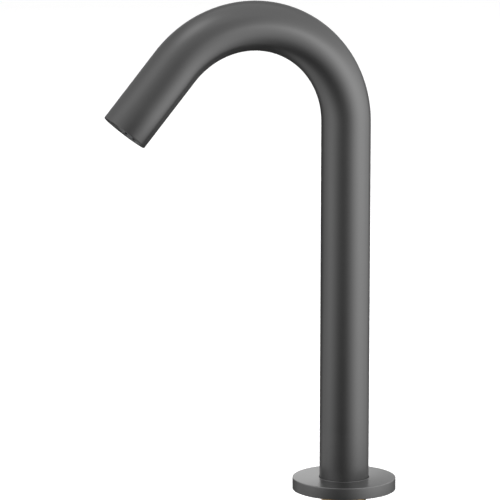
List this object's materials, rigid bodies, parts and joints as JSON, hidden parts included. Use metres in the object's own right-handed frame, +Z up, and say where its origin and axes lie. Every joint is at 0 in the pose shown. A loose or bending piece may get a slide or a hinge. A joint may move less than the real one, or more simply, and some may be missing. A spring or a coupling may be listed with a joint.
{
  "type": "sensor tap",
  "caption": "Deck-mounted sensor tap: a bent tube spout on a round cover flange, with an infrared eye beside the aerator in its mouth.",
  "frame": {"origin": "the column's axis at deck level, on the plane that the cover flange stands on", "axes": "+Z up the column; the spout reaches towards -X"},
  "size_m": [0.1762, 0.06, 0.3731],
  "materials": {
    "gunmetal": "satin PVD gunmetal",
    "brass": "turned",
    "steel": "plain stainless",
    "rubber": "matte",
    "acetal_black": "moulded",
    "acetal_white": "moulded",
    "acetal_grey": "moulded",
    "hose": "smooth",
    "lead": "smooth",
    "window": "dark infrared-passing",
    "emitter_resin": "clear resin",
    "receiver_resin": "dark resin",
    "board": "laminate",
    "mesh": "woven",
    "gold_pin": "plated"
  },
  "bodies": {
    "base": {"base_body": "brass", "cover_flange": "gunmetal", "flange_o_ring": "rubber", "spigot_o_rings": "rubber", "slip_ring": "acetal_black", "deck_gasket": "rubber", "clamp_gasket": "rubber", "clamp_washer": "steel", "back_nut": "brass", "inlet_pipe": "brass", "pipe_clip": "steel", "stem_o_rings": "rubber", "shank_plug": "acetal_black", "pipe_guide": "acetal_white", "lead_socket": "acetal_black", "socket_pins": "gold_pin", "lead_tail": "lead", "lead_slack": "lead"},
    "spout": {"spout_tube": "gunmetal", "foot_bush": "brass", "stop_screw": "steel", "hose_coupling": "brass", "water_hose": "hose", "lower_ferrule": "steel", "upper_ferrule": "steel", "sensor_lead": "lead", "lead_clips": "acetal_white", "outlet_insert": "acetal_black", "insert_o_ring": "rubber", "insert_screw": "steel", "sensor_window": "window", "window_gasket": "rubber", "sensor_shell": "acetal_black", "sensor_board": "board", "infrared_emitter": "emitter_resin", "infrared_receiver": "receiver_resin"},
    "aerator_seal": {"aerator_washer": "rubber"},
    "aerator": {"aerator_shell": "acetal_grey", "aerator_grid": "acetal_grey", "aerator_screens": "mesh", "flow_regulator": "acetal_white", "inlet_strainer": "acetal_white"}
  },
  "joints": [
    {"name": "spout_swivel", "type": "hinge", "parent": "base", "child": "spout", "pos_m": [0, 0, 0.0045], "axis": [0, 0, 1], "range_deg": [-60, 60], "deforming": ["lead_slack"]},
    {"name": "aerator_travel", "type": "slide", "parent": "spout", "child": "aerator_seal", "axis": [-0.6455, 0, -0.7638], "range_m": [0, 0.00801]},
    {"name": "aerator_turn", "type": "hinge", "parent": "aerator_seal", "child": "aerator", "pos_m": [-0.13202, 0, 0.21628], "axis": [-0.6455, 0, -0.7638], "range_deg": [0, 2880]}
  ],
  "couplings": [
    {"joint": "aerator_travel", "follows": "aerator_turn", "m_per_rad": 0.00015915}
  ]
}
